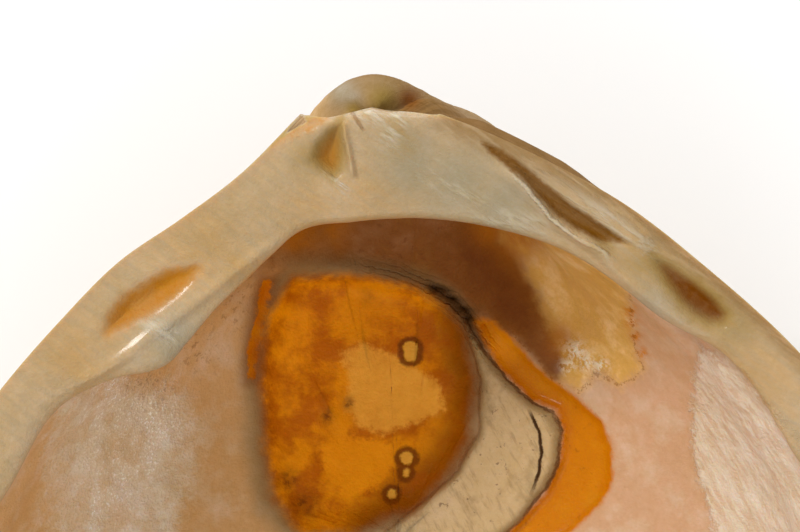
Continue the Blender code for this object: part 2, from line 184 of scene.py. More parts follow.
def hollow_edge_reach(bearings):
    """Distance from the middle to the hollow's edge at each bearing."""
    knots = bearings_of(HOLLOW_EDGE)
    order = np.argsort(knots)
    reach = np.linalg.norm(HOLLOW_EDGE - np.array(MIDDLE)[:2], axis=1)[order]
    knots = knots[order]
    knots = np.concatenate([knots[-3:] - TAU, knots, knots[:3] + TAU])
    reach = np.concatenate([reach[-3:], reach, reach[:3]])
    return hermite(knots, reach, bearings)


def shelf_strength(bearings):
    """1 where the hinge shelf is full, 0 round the belly side."""
    return hump(bearings, *SHELF_BEARINGS)


def wall_reach(bearing, dip):
    """Distance from the middle to the hollow's wall, along a bearing and a dip below the lips."""
    ray = Vector((math.cos(bearing) * math.cos(dip), math.sin(bearing) * math.cos(dip), -math.sin(dip)))
    _, normal, _, distance = outside_tree.ray_cast(MIDDLE, ray)
    return distance - WALL / max(abs(normal.dot(ray)), LEAST_SLANT)


def inside_profile(rim, bearing, edge, shelf):
    """Points from the rim to the floor at one bearing."""
    rim_reach = math.hypot(rim[0] - MIDDLE.x, rim[1] - MIDDLE.y)
    width = rim_reach - edge
    bare = 1 - shelf
    section = [(rim_reach, rim[2]), (rim_reach - min(0.35 * MM, 0.2 * width), -0.04 * MM)]
    for share in (0.3, 0.55, 0.8):
        section.append((rim_reach - share * width, -SHELF_DROP * share ** 2))
    nose = (edge + 0.1 * MM, -SHELF_DROP - 0.15 * MM)
    section.append(nose)
    shelf_nose = [
        (edge, -SHELF_DROP - 0.8 * MM),
        (edge + 0.3 * MM, -SHELF_DROP - 1.9 * MM),
        (edge + 0.5 * SHELF_OVERHANG, -SHELF_THICKNESS),
        (edge + SHELF_OVERHANG, -SHELF_THICKNESS - 1.2 * MM),
    ]
    nose_dip = math.atan2(MIDDLE.z - nose[1], nose[0])
    nose_far = math.hypot(nose[0], MIDDLE.z - nose[1])
    for step, (reach, height) in enumerate(shelf_nose, start=1):
        dip = nose_dip + NOSE_FAN * step
        far = nose_far + (wall_reach(bearing, dip) - nose_far) * min(step / 3, 1)
        section.append((
            shelf * reach + bare * far * math.cos(dip),
            shelf * height + bare * (MIDDLE.z - far * math.sin(dip)),
        ))
    last_reach, last_height = section[-1]
    first_dip = math.atan2(MIDDLE.z - last_height, last_reach)
    first_far = math.hypot(last_reach, MIDDLE.z - last_height)
    wall = wall_reach(bearing, first_dip)
    if first_far > wall:
        section[-1] = (wall * math.cos(first_dip), MIDDLE.z - wall * math.sin(first_dip))
        first_far = wall
    for step in range(1, WALL_STEPS + 1):
        share = step / WALL_STEPS
        dip = first_dip + (math.pi / 2 - first_dip) * share
        blend = float(ease(share, 0, 0.3))
        far = first_far + (wall_reach(bearing, dip) - first_far) * blend
        section.append((far * math.cos(dip), MIDDLE.z - far * math.sin(dip)))
    return np.array(section)


def grid_faces(rows, columns):
    """Corners of the quads between neighbouring points of a grid, numbered row by row."""
    corner = (np.arange(rows - 1)[:, None] * columns + np.arange(columns - 1)).ravel()
    return np.stack([corner, corner + 1, corner + columns + 1, corner + columns], axis=1)


bare_grid = outside_grid(np.linspace(0, 1, BARE_COLUMNS + 1), growth_scales(BARE_ROWS))
outside_tree = BVHTree.FromPolygons(
    [Vector(p) for p in bare_grid.reshape(-1, 3)], grid_faces(*bare_grid.shape[:2]).tolist()
)
rim = np.concatenate([outside[0], outside[1:, -1], beak_tip[None], outside[:0:-1, 0]])
rim_bearings = bearings_of(rim)
rim_edges = hollow_edge_reach(rim_bearings)
rim_shelves = shelf_strength(rim_bearings)

# Places along every profile: 0 is the rim, 5 the top of the nose, 9 the shelf's root, and the last the floor
LAST_PLACE = 9 + WALL_STEPS
profile_places = np.concatenate([
    np.linspace(0, 5, SHELF_ROWS, endpoint=False),
    np.linspace(5, 9, NOSE_ROWS, endpoint=False),
    np.linspace(9, LAST_PLACE, WALL_ROWS + 1),
])
inside = np.empty((len(profile_places), len(rim), 3))
for column, (point, bearing, edge, shelf) in enumerate(zip(rim, rim_bearings, rim_edges, rim_shelves)):
    section = inside_profile(point, bearing, edge, shelf)
    chord = np.concatenate([[0], np.cumsum(np.linalg.norm(np.diff(section, axis=0), axis=1))])
    smooth = hermite(chord, section, np.interp(profile_places, np.arange(len(section)), chord))
    inside[:, column, 0] = MIDDLE.x + smooth[:, 0] * math.cos(bearing)
    inside[:, column, 1] = MIDDLE.y + smooth[:, 0] * math.sin(bearing)
    inside[:, column, 2] = smooth[:, 1]
inside[0] = rim

# Relief of the shelf: the crests of the side teeth, the thin tooth beside the beak's pit, the sockets for
# the other valve's teeth, and the groove that held the ligament. Places are as the eye sees them, in the
# plane of the lips.
EYE = MM * np.array([1.5, -8.2, 240.0])
FRONT_CREST = MM * np.array([
    (-16.7, -15.0), (-14.4, -13.7), (-13.2, -12.9), (-11.9, -11.8), (-10.5, -10.9), (-9.2, -9.9),
    (-7.6, -8.6), (-5.9, -7.3), (-4.6, -6.5),
])
BACK_CREST = MM * np.array([
    (6.4, -2.6), (8.2, -4.1), (9.8, -5.7), (12.0, -7.2), (13.2, -8.4), (14.3, -9.3), (15.4, -10.2),
    (17.0, -11.3), (17.8, -12.0),
])
FRONT_TOOTH = MM * np.array([(-13.6, -13.7), (-11.6, -12.9), (-10.2, -11.9)])
BEAK_TOOTH = MM * np.array([(-1.6, -0.5), (-1.45, -1.4), (-1.2, -2.4), (-1.0, -3.4)])
BEAK_CREVICE = MM * np.array([(-1.15, -0.2), (-0.8, -0.7), (-0.4, -1.15)])
FRONT_SOCKET = MM * np.array([
    (-9.4, -8.3), (-11.1, -8.5), (-12.1, -9.1), (-13.3, -9.8), (-14.2, -10.9), (-14.4, -11.9),
    (-13.8, -11.7), (-12.7, -11.1), (-11.7, -10.6), (-10.6, -9.8), (-9.6, -8.8),
])
BACK_SOCKET = MM * np.array([
    (15.1, -7.6), (16.3, -8.0), (17.5, -8.8), (18.7, -9.8), (19.4, -10.8), (19.1, -11.5), (18.2, -11.6),
    (17.2, -11.1), (16.4, -10.3), (15.7, -9.3), (15.2, -8.4),
])
BEAK_PIT = MM * np.array([
    (-1.5, -0.2), (-1.55, -1.1), (-1.45, -2.2), (-1.6, -3.0), (-2.1, -3.5), (-2.8, -3.1), (-3.3, -2.5),
    (-3.1, -1.7), (-2.5, -1.0), (-1.9, -0.45),
])
LIGAMENT_GROOVE = MM * np.array([
    (5.9, -1.5), (6.8, -1.8), (8.0, -2.6), (9.0, -3.5), (9.9, -4.2), (10.8, -4.9), (12.0, -5.7),
    (13.9, -7.0), (12.4, -6.9), (11.0, -6.2), (9.8, -5.4), (8.8, -4.3), (8.0, -3.4), (7.0, -2.6),
    (6.3, -2.0),
])
GROOVE_LEDGE = MM * np.array([
    (7.2, -2.9), (8.1, -3.7), (8.9, -4.6), (9.7, -5.6), (10.9, -6.5), (12.3, -7.2), (13.5, -8.2),
])
NYMPH = MM * np.array([(8.4, -2.2), (10.8, -3.9), (12.9, -5.6), (15.2, -7.2)])
FRONT_CORNER = MM * np.array([
    (-5.6, -1.9), (-4.3, -1.15), (-3.1, -0.75), (-2.75, -0.35), (-2.1, 0.0), (-2.0, 0.6), (-4.6, 0.6),
    (-6.0, -0.9),
])
HINGE_RISE, HINGE_RISE_AT, HINGE_RISE_WIDTH = 0.45 * MM, 0.5 * MM, 2.5 * MM


def seen(points):
    """Places in the lips' plane behind which the points lie for an eye above the hinge."""
    away = EYE[2] / (EYE[2] - points[..., 2:])
    return EYE[:2] + (points[..., :2] - EYE[:2]) * away


def line_distance(places, line):
    """Distance of each place from a bent line, its share of the line, and its offset to one side."""
    lengths = np.linalg.norm(np.diff(line, axis=0), axis=1)
    starts = np.concatenate([[0], np.cumsum(lengths)])
    nearest = np.full(places.shape[:-1], np.inf)
    share = np.zeros(places.shape[:-1])
    offset = np.zeros(places.shape[:-1])
    for a, b, length, start in zip(line, line[1:], lengths, starts):
        along = (b - a) / length
        t = np.clip((places - a) @ along / length, 0, 1)
        distance = np.linalg.norm(places - a - t[..., None] * (b - a), axis=-1)
        closer = distance < nearest
        nearest = np.where(closer, distance, nearest)
        share = np.where(closer, (start + t * length) / starts[-1], share)
        offset = np.where(closer, (places - a) @ np.array([-along[1], along[0]]), offset)
    return nearest, share, offset


def inside_distance(places, outline):
    """Distance of each place from an outline's edge: positive inside it, negative outside."""
    closed = np.concatenate([outline, outline[:1]])
    distance = line_distance(places, closed)[0]
    crossings = np.zeros(places.shape[:-1], bool)
    x, y = places[..., 0], places[..., 1]
    for (x0, y0), (x1, y1) in zip(closed, closed[1:]):
        if y0 == y1:
            continue
        spans = (y0 > y) != (y1 > y)
        crossings ^= spans & (x < x0 + (y - y0) * (x1 - x0) / (y1 - y0))
    return np.where(crossings, distance, -distance)


def trace(line, reach, start, end):
    """How near each place is to a bent line that fades at both ends, and its offset to one side."""
    away, share, offset = line_distance(places, line)
    return bell(away, reach) * hump(share, 0, start, end, 1), offset


def ridge_height(line, width, height, ends=0.12):
    """Height of a rounded ridge along a line, which tapers at both ends."""
    distance, share, _ = line_distance(places, line)
    return height * bell(distance, width) * (0.15 + 0.85 * hump(share, 0, ends, 1 - ends, 1))


def soft_spots(places, *spots):
    """1 at each spot, given as x, y and reach in millimetres, and 0 well away from all of them."""
    value = np.zeros(places.shape[:-1])
    for x, y, reach in spots:
        value = np.maximum(value, bell(np.linalg.norm(places - (x * MM, y * MM), axis=-1), reach * MM))
    return value


places = seen(inside)
on_shelf = (1 - ease(profile_places, 5.0, 7.0))[:, None]
off_rim = ease(profile_places, 0.0, 1.2)[:, None]
front_socket = inside_distance(places, FRONT_SOCKET)
back_socket = inside_distance(places, BACK_SOCKET)
beak_pit = inside_distance(places, BEAK_PIT)
groove = inside_distance(places, LIGAMENT_GROOVE)
corner = inside_distance(places, FRONT_CORNER)
ledge_on, ledge = trace(GROOVE_LEDGE, MM, 0.1, 0.8)
crevice_on, crevice = trace(BEAK_CREVICE, MM, 0.1, 0.9)
shelf_relief = on_shelf * off_rim * (
    ridge_height(FRONT_CREST, 0.32 * MM, 0.22 * MM)
    + ridge_height(BACK_CREST, 0.36 * MM, 0.32 * MM)
    + ridge_height(FRONT_TOOTH, 0.8 * MM, 0.25 * MM, 0.4)
    + ridge_height(GROOVE_LEDGE, 0.22 * MM, 0.18 * MM)
    + ridge_height(BEAK_TOOTH, 0.17 * MM, 0.35 * MM)
    + ridge_height(NYMPH, 0.7 * MM, 0.3 * MM)
    - 0.75 * MM * ease(front_socket, -0.5 * MM, 1.0 * MM)
    - 0.8 * MM * ease(back_socket, -0.45 * MM, 1.0 * MM)
    - 0.9 * MM * ease(beak_pit, -0.35 * MM, 0.9 * MM) - 0.5 * MM * ease(groove, -0.2 * MM, 0.45 * MM)
    - 0.3 * MM * ease(corner, -0.15 * MM, 0.5 * MM)
)

# The broken blister: a bubble of shell on the floor whose roof has mostly gone. It leaves an amber chamber
# with a thin floor, grey layers along its edge, a tongue of roof at the back, and an amber gap beyond that.
CHAMBER = MM * np.array([
    (-4.4, -8.7), (-1.2, -8.5), (2.1, -9.3), (3.9, -10.2), (5.0, -11.7), (5.6, -14.4), (5.3, -17.3),
    (4.2, -19.5), (2.3, -21.3), (-0.8, -22.7), (-3.9, -22.7), (-5.5, -20.9), (-6.0, -17.6), (-6.2, -14.4),
    (-5.7, -11.1),
])
ROOF_LEFT = MM * np.array([
    (5.1, -11.3), (6.9, -13.8), (8.6, -15.5), (9.9, -16.0), (10.3, -17.1), (10.1, -18.7), (9.4, -20.3),
    (8.0, -21.9), (6.9, -23.0), (3.5, -23.6), (0.6, -22.6), (2.9, -20.9), (4.7, -19.2), (5.7, -17.3),
    (5.9, -14.4),
])
AMBER_BAND = MM * np.array([
    (5.3, -10.8), (6.5, -11.1), (7.8, -12.4), (9.5, -14.2), (11.1, -15.3), (12.3, -16.5), (13.0, -18.1),
    (13.0, -19.8), (12.3, -21.1), (10.7, -22.6), (8.6, -23.6), (6.9, -23.0), (8.0, -21.9), (9.4, -20.3),
    (10.1, -18.7), (10.3, -17.1), (9.9, -16.0), (8.6, -15.5), (6.9, -13.8),
])
BLISTER_RIM = MM * np.array([
    (-5.6, -8.2), (-4.2, -8.0), (-2.6, -8.2), (-0.6, -8.4), (1.2, -8.8), (2.9, -9.4), (4.2, -10.2),
    (5.2, -11.2), (6.0, -12.4),
])
GAP = MM * np.array([(2.6, -9.0), (4.0, -9.7), (5.1, -10.7), (5.6, -11.6)])
ROOF_CRACK = MM * np.array([(8.5, -15.7), (9.15, -17.0), (9.3, -18.2), (9.1, -19.4), (8.6, -20.8)])
FRONT_SLIVER = MM * np.array([
    (-5.9, -8.9), (-5.4, -9.0), (-5.5, -10.0), (-5.9, -11.4), (-6.1, -12.6), (-6.3, -14.2), (-6.7, -14.4),
    (-6.6, -12.4), (-6.2, -10.6),
])
BRIGHT_FLOOR = MM * np.array([
    (-1.7, -12.8), (-0.3, -12.4), (2.1, -13.6), (3.6, -14.8), (3.9, -16.0), (2.1, -16.8), (0.5, -17.3),
    (-0.8, -16.8), (-1.5, -15.6), (-1.1, -14.3), (-1.5, -13.3),
])
ORANGE_FLOOR = MM * np.array([
    (-2.7, -18.0), (-1.8, -17.3), (0.4, -17.5), (1.4, -18.4), (0.7, -19.5), (-0.3, -20.4), (-1.0, -20.9),
    (-2.2, -19.7),
])
HOLES = MM * np.array([
    (2.05, -12.75, 0.40), (2.0, -13.1, 0.36), (1.8, -18.6, 0.36), (1.8, -19.4, 0.22), (1.05, -20.5, 0.26),
])
FAR_OFF = -9.0 * MM


def grains(points, size, seed, octaves=2):
    """Smooth noise from -1 to 1 whose grains have the given size."""
    shift = Vector((seed * 7.3, seed * 3.1, seed * 5.7))
    flat = points.reshape(-1, 3) / size
    values = [noise.fractal(Vector(p) + shift, 0.9, 2.1, octaves) for p in flat]
    return np.clip(np.array(values).reshape(points.shape[:-1]), -1, 1)


wobble = 0.22 * MM * grains(inside, 2.0 * MM, 1)
rough_floor = grains(inside, 1.1 * MM, 2)
on_floor = ease(profile_places, 8.6, 9.6)[:, None]
chamber = inside_distance(places, CHAMBER) + wobble
roof = inside_distance(places, ROOF_LEFT) + 0.5 * wobble
band = inside_distance(places, AMBER_BAND) + 0.5 * wobble
bright_floor = inside_distance(places, BRIGHT_FLOOR) + wobble
orange_floor = inside_distance(places, ORANGE_FLOOR) + wobble
sliver = inside_distance(places, FRONT_SLIVER) + 0.5 * wobble
rim_away, rim_share, rim_offset = line_distance(places, BLISTER_RIM)
rim_near = bell(rim_away, 0.6 * MM) * ease(rim_share, 0.2, 0.75)
# A narrow gap along the rim: sunk a little, and painted near black for its shadow
shadowed_gap = trace(GAP, 0.26 * MM, 0.2, 0.8)[0]
crack_on, crack = trace(ROOF_CRACK, 0.8 * MM, 0.15, 0.75)
holes = np.full(places.shape[:-1], FAR_OFF)
for x, y, radius in HOLES:
    holes = np.maximum(holes, radius - np.linalg.norm(places - (x, y), axis=-1))
floor_relief = on_floor * (
    0.4 * MM * bell(rim_away, 0.5 * MM) - 0.5 * MM * shadowed_gap
    + ease(roof, -0.25 * MM, 0.35 * MM) * 0.65 * MM * (1 - ease(chamber, 0, 0.5 * MM))
    - ease(chamber, -0.4 * MM, 1.4 * MM) * (0.7 * MM + 0.08 * MM * rough_floor)
    - 0.3 * MM * ease(band, -0.1 * MM, 0.45 * MM) - 0.2 * MM * ease(sliver, -0.1 * MM, 0.3 * MM)
)

# The muscle scars, where the closing muscles held on, and the grain of the glaze round them.
FRONT_SCAR = MM * np.array([
    (-16.6, -14.9), (-12.2, -14.6), (-10.3, -15.2), (-9.9, -17.6), (-10.4, -20.8), (-11.2, -23.6),
    (-13.0, -26.0), (-16.8, -25.4), (-17.4, -19.6),
])
BACK_SCAR = MM * np.array([
    (17.8, -12.4), (19.9, -13.8), (22.6, -17.1), (24.9, -20.8), (25.8, -25.2), (23.1, -27.6), (19.3, -24.4),
    (17.6, -19.8), (17.2, -15.4),
])
front_scar = inside_distance(places, FRONT_SCAR) + 1.8 * wobble
back_scar = inside_distance(places, BACK_SCAR) + wobble
off_shelf = ease(profile_places, 4.4, 6.0)[:, None]
scarred = off_shelf * np.maximum(ease(front_scar, -0.4 * MM, 0.8 * MM), ease(back_scar, -0.1 * MM, 0.15 * MM))
scar_relief = scarred * (0.08 * MM + 0.10 * MM * rough_floor)
glaze_relief = 0.02 * MM * rough_floor * off_rim
hinge_rise = np.exp(-((places[..., 0] - HINGE_RISE_AT) / HINGE_RISE_WIDTH) ** 4)
hinge_rise = hinge_rise * (1 - ease(profile_places, 0.4, 2.6))[:, None] * (places[..., 1] > -4 * MM)

facing = unit(np.cross(np.gradient(inside, axis=1), np.gradient(inside, axis=0)))
if facing[2, 0, 2] < 0:
    facing = -facing
inside[1:] += ((shelf_relief + floor_relief + scar_relief + glaze_relief)[..., None] * facing)[1:]
inside[1:, :, 1] += (HINGE_RISE * hinge_rise)[1:]
inside[1:, :, 2] += (0.5 * HINGE_RISE * hinge_rise)[1:]

# The valve in one piece: outside, rim and inside joined along the lip, with marks on its points for the
# finish. Ribs, growth lines and the lip's scallops are grown on it by Geometry Nodes. It stands in for the
# plain solid.
REST_TILT = math.radians(6.5)
WORN_FLAT_DEPTH = 0.42 * MM
GROWTH_LINE_HEIGHT = 0.035 * MM
GROWTH_LINE_COUNT = 46
SAME_POINT = 0.004 * MM
SHARP_ANGLE = math.radians(55)

tip_number = outside[..., 0].size
rim_numbers = np.concatenate([
    np.arange(len(lip_shares)),
    np.arange(1, GROWTH_ROWS) * len(lip_shares) + len(lip_shares) - 1,
    [tip_number],
    np.arange(GROWTH_ROWS - 1, 0, -1) * len(lip_shares),
])
inner_rows = len(inside) - 1
inner_numbers = tip_number + 1 + np.arange(inner_rows * len(rim)).reshape(inner_rows, len(rim))
inner_numbers = np.concatenate([rim_numbers[None], inner_numbers])
inner_numbers = np.concatenate([inner_numbers, inner_numbers[:, :1]], axis=1)
inner_faces = np.stack([
    inner_numbers[:-1, :-1], inner_numbers[:-1, 1:], inner_numbers[1:, 1:], inner_numbers[1:, :-1],
], axis=-1).reshape(-1, 4)
outer_faces = grid_faces(GROWTH_ROWS, len(lip_shares))[:, ::-1]
tip_row = (GROWTH_ROWS - 1) * len(lip_shares)
tip_faces = [(tip_row + c + 1, tip_row + c, tip_number) for c in range(len(lip_shares) - 1)]
all_points = np.concatenate([outside.reshape(-1, 3), beak_tip[None], inside[1:].reshape(-1, 3)])

TAN_PATCH = MM * np.array([
    (9.0, -5.6), (13.3, -7.9), (13.9, -9.9), (14.1, -12.7), (14.7, -13.7), (13.4, -14.6), (12.0, -13.9),
    (11.2, -15.0), (9.6, -14.2), (7.6, -11.6), (6.4, -9.2), (6.4, -5.6),
])
# Painted shade on the hollow's back wall under the shelf: a blotch along a line, its widths in millimetres at
# the start and the end
SHADE_PATCH = MM * np.array([(5.3, -7.6), (7.4, -10.0), (9.2, -12.4), (9.9, -14.0)])
SHADE_WIDTHS = (2.0, 0.6)
BEAK_CREASE = MM * np.array([(-4.2, -1.1), (-3.1, -0.75), (-2.75, -0.35), (-2.1, 0.0)])
PIT_CHALK = MM * np.array([(-1.0, -0.1), (0.4, -0.4), (1.4, -0.6), (0.9, -1.4)])
PIT_FOOT_CHALK = MM * np.array([(-2.2, -3.2), (-1.6, -3.9)])
SOCKET_CHALK = MM * np.array([(-12.2, -11.2), (-10.8, -12.0)])
PLATE_CHALK = MM * np.array([(3.0, -2.8), (4.6, -4.2), (6.6, -5.6), (9.0, -6.0)])
SHELF_SPOTS = {
    "grey": [(2.2, -2.8, 2.0), (4.6, -3.6, 2.4), (7.0, -5.0, 2.4), (-10.6, -12.2, 1.6), (14.8, -10.6, 1.5)],
    "yellow": [
        (-9.3, -7.6, 2.6), (0.2, -4.6, 2.0), (-16.0, -13.2, 2.2), (-3.4, -5.2, 1.6), (14.6, -8.0, 1.8),
        (21.0, -14.2, 2.6), (-7.4, -8.2, 1.5),
    ],
    "olive": [(-3.4, -2.4, 1.1), (1.6, -1.5, 0.9), (14.8, -7.9, 1.2), (19.6, -11.4, 1.3), (12.6, -6.9, 0.8)],
}
WALL_SPOTS = {
    "flecked": [(-7.6, -10.4, 1.6), (-9.6, -12.6, 1.5), (-12.0, -14.6, 1.4), (-6.6, -8.6, 0.9)],
    "rust": [(-3.9, -6.8, 1.2), (-2.0, -6.3, 0.9), (6.4, -6.2, 1.0), (8.0, -6.6, 1.4), (10.1, -12.2, 1.0)],
    "sparkle": [(-14.0, -15.6, 2.2), (-13.4, -18.2, 2.4), (-12.0, -16.4, 1.6), (-14.6, -21.0, 1.8)],
}
FLOOR_SPOTS = {
    "pits": [
        (-1.2, -15.7, 0.3), (-2.3, -16.4, 0.4), (-4.5, -19.8, 0.6), (-3.6, -21.0, 0.8), (-0.2, -9.9, 0.45),
    ],
    "nodules": [(11.0, -12.8, 0.55), (11.6, -13.4, 0.5), (12.3, -13.6, 0.45), (10.6, -13.6, 0.4)],
    "bright_edge": [(13.9, -10.6, 0.35), (14.0, -11.2, 0.35), (14.2, -12.0, 0.3), (14.6, -12.9, 0.3)],
    # Painted light: spots where the amber is made brighter, at the tops of the chamber and the band
    "glow": [(-0.1, -10.0, 1.4), (6.9, -12.7, 1.0)],
}
# Spots on the beak, in the lips' plane; the white ones are a painted highlight on its dome
BEAK_SPOTS = {
    "beak_highlight": [(-1.6, 1.2, 0.75), (-1.2, 0.9, 0.6)], "beak_brown": [(2.0, 0.8, 0.6)],
    # The peach spots are a painted glow, where light shines through the thin front corner
    "beak_corner_glow": [(-3.6, 0.0, 1.1), (-2.9, 0.9, 0.6)], "beak_olive": [(-1.0, 0.3, 0.5), (0.6, 0.8, 0.8)],
}


def chalk_along(line, width):
    """Chalky crumbs along a line."""
    return bell(line_distance(places, line)[0], width * MM)


side = ease(places[..., 0], -7 * MM, 9 * MM)
cloudy = 1.6 * MM * grains(inside, 3.0 * MM, 5)
# Painted shade: the deep end of the hollow under the shelf, painted brown with mottling further on
umbo_shade = ease(places[..., 1], -14.0 * MM, -9.5 * MM) * ease(places[..., 0] + cloudy, -8.6 * MM, -4.6 * MM)
umbo_shade = umbo_shade * (1 - ease(places[..., 0] + 0.55 * (places[..., 1] + 9 * MM), 5.5 * MM, 9.5 * MM))
dark_away, dark_share, _ = line_distance(places, SHADE_PATCH)
dark_width = MM * (SHADE_WIDTHS[0] + (SHADE_WIDTHS[1] - SHADE_WIDTHS[0]) * dark_share)
shade_patch = bell(dark_away, dark_width) * (1 - 0.35 * ease(dark_share, 0.5, 1.0))
tan_patch = inside_distance(places, TAN_PATCH) + wobble
chalk = np.clip(
    chalk_along(PIT_CHALK, 0.5) + chalk_along(PIT_FOOT_CHALK, 0.45) + 0.8 * chalk_along(SOCKET_CHALK, 0.4)
    + 0.75 * chalk_along(NYMPH, 0.65) + 0.55 * chalk_along(PLATE_CHALK, 0.6), 0, 1,
)
margin = (1 - ease(profile_places, 0.8, 2.3))[:, None] * ease(places[..., 0], 2 * MM, 5 * MM)

# Marks of the inside: their part of the inside, their value on the outside, and what they say of each point
mark_sets = [
    (1 / MM, FAR_OFF / MM, {
        "tan": tan_patch, "chamber": chamber, "roof": roof, "band": band, "sliver": sliver,
        "bright": bright_floor, "orange": orange_floor, "holes": holes, "front_scar": front_scar,
        "back_scar": back_scar, "front_socket": front_socket, "back_socket": back_socket, "pit": beak_pit,
        "groove": groove, "corner": corner,
    }),
    (1 / MM, 0.0, {"rim_offset": rim_offset, "crack": crack, "crevice": crevice, "ledge": ledge}),
    (1.0, 0.0, {"side": side}),
    (on_shelf, 0.0, {
        "shelf": 1.0, "chalk": chalk, "margin": margin, "crease": chalk_along(BEAK_CREASE, 0.22),
        "crevice_on": crevice_on, "ledge_on": ledge_on,
    }),
    (on_floor, 0.0, {"umbo_shade": umbo_shade, "shade_patch": shade_patch, "rim_near": rim_near, "shadowed_gap": shadowed_gap, "crack_on": crack_on}),
]
for region, spot_sets in ((on_shelf, SHELF_SPOTS), (off_shelf, WALL_SPOTS), (on_floor, FLOOR_SPOTS)):
    mark_sets.append((region, 0.0, {name: soft_spots(places, *spots) for name, spots in spot_sets.items()}))

built = bpy.data.meshes.new("valve_grown")
built.from_pydata(all_points.tolist(), [], outer_faces.tolist() + tip_faces + inner_faces.tolist())


def write_mark(name, values):
    """Stores a number for each point of the valve under a mark's name."""
    built.attributes.new(name, "FLOAT", "POINT").data.foreach_set("value", values.astype(np.float32))


for region, elsewhere, marks in mark_sets:
    for name, values in marks.items():
        values = np.broadcast_to(region * values, places.shape[:-1])
        whole = np.full(len(all_points), elsewhere)
        whole[tip_number + 1:] = values[1:].ravel()
        whole[rim_numbers] = values[0]
        write_mark(name, whole)
share_of_lip, growth, is_outside = (np.zeros(len(all_points)) for _ in range(3))
share_of_lip[:tip_number] = np.tile(lip_shares, GROWTH_ROWS)
growth[:tip_number] = np.repeat(growth_lines[:-1], len(lip_shares))
is_outside[:tip_number + 1] = 1
write_mark("share", share_of_lip)
write_mark("growth", growth)
write_mark("outside", is_outside)
write_mark("strip", ease(share_of_lip, 0.86, 0.93) * ease(growth, 0.1, 0.2))
outer_points = all_points[:tip_number]
near_beak = ease(0.3 - growth[:tip_number], 0, 0.06) * ease(outer_points[:, 2], -10 * MM, -6 * MM)
for name, spots in BEAK_SPOTS.items():
    on_beak = near_beak if name != "beak_corner_glow" else 1
    whole = np.zeros(len(all_points))
    whole[:tip_number] = on_beak * soft_spots(seen(outer_points), *spots)
    write_mark(name, whole)

joined = bmesh.new()
joined.from_mesh(built)
bmesh.ops.remove_doubles(joined, verts=joined.verts[:], dist=SAME_POINT)
bmesh.ops.recalc_face_normals(joined, faces=joined.faces[:])
joined.to_mesh(built)
joined.free()
built.shade_smooth()
valve = bpy.data.objects.new("cockle_valve", built)
bpy.context.scene.collection.objects.link(valve)

shell_inside = bpy.data.materials.new("shell inside, glazed")
shell_outside = bpy.data.materials.new("shell outside, ribbed")
rib_sizes = {
    "Rib count": float(RIB_COUNT), "Rib height": RIB_HEIGHT, "Ribbed from": RIBBED[0], "Ribbed to": RIBBED[1],
    "Growth line count": float(GROWTH_LINE_COUNT), "Growth line height": GROWTH_LINE_HEIGHT,
}
coverings = {"Inside": shell_inside, "Outside": shell_outside}

# From here on, tree is the node tree at hand: the ribs, then the mottling, then each material
tree = bpy.data.node_groups.new("Ribs and growth lines", "GeometryNodeTree")
tree.interface.new_socket("Geometry", in_out="INPUT", socket_type="NodeSocketGeometry")
for name in rib_sizes:
    tree.interface.new_socket(name, in_out="INPUT", socket_type="NodeSocketFloat")
for name in coverings:
    tree.interface.new_socket(name, in_out="INPUT", socket_type="NodeSocketMaterial")
tree.interface.new_socket("Geometry", in_out="OUTPUT", socket_type="NodeSocketGeometry")


def join(value, socket):
    """Links an output, or writes a plain value, to an input."""
    if isinstance(value, bpy.types.NodeSocket):
        tree.links.new(value, socket)
    else:
        socket.default_value = value


def feed(node, inputs):
    """Puts outputs or plain values on a node's inputs, by name."""
    for name, value in inputs.items():
        join(value, node.inputs[name])
    return node


def new_node(kind, inputs, **settings):
    """A node of the tree at hand, with its settings and its inputs."""
    node = tree.nodes.new(kind)
    for name, setting in settings.items():
        setattr(node, name, setting)
    return feed(node, inputs)


def sum_of(operation, *values):
    """One Math node on the given values."""
    node = new_node("ShaderNodeMath", {}, operation=operation)
    for value, socket in zip(values, node.inputs):
        join(value, socket)
    return node.outputs["Value"]


def product(*values):
    """Values multiplied together."""
    total = values[0]
    for value in values[1:]:
        total = sum_of("MULTIPLY", total, value)
    return total


def rise_of(value, low, high, start=0.0, end=1.0):
    """A smooth rise from start to end while a value goes from low to high."""
    return new_node("ShaderNodeMapRange", {
        "Value": value, "From Min": low, "From Max": high, "To Min": start, "To Max": end,
    }, interpolation_type="SMOOTHSTEP").outputs["Result"]


def point_mark(name):
    """A mark on the valve's points, read inside the rib tree."""
    return new_node("GeometryNodeInputNamedAttribute", {"Name": name}, data_type="FLOAT").outputs["Attribute"]


given = tree.nodes.new("NodeGroupInput").outputs
share, scale, outer = point_mark("share"), point_mark("growth"), point_mark("outside")
span = sum_of("SUBTRACT", given["Ribbed to"], given["Ribbed from"])
along = sum_of("DIVIDE", sum_of("SUBTRACT", share, given["Ribbed from"]), span)
wave = sum_of("MULTIPLY_ADD", sum_of("COSINE", product(along, given["Rib count"], TAU)), -0.5, 0.5)
ribbed = product(rise_of(along, 0.0, 0.18), rise_of(along, 0.82, 1.0, 1.0, 0.0), rise_of(scale, 0.12, 0.6))
uneven = new_node("ShaderNodeTexNoise", {"Scale": 60.0, "Detail": 3.0}).outputs["Fac"]
age = sum_of("MULTIPLY_ADD", uneven, 0.03, scale)
line_wave = sum_of("SINE", product(age, given["Growth line count"], TAU))
line_wave = sum_of("POWER", sum_of("MULTIPLY_ADD", line_wave, 0.5, 0.5), 3.0)
height = product(wave, ribbed, given["Rib height"])
height = product(sum_of("ADD", height, product(line_wave, given["Growth line height"])), outer)
normal = tree.nodes.new("GeometryNodeInputNormal").outputs["Normal"]
push = new_node("ShaderNodeVectorMath", {"Vector": normal, "Scale": height}, operation="SCALE").outputs[0]
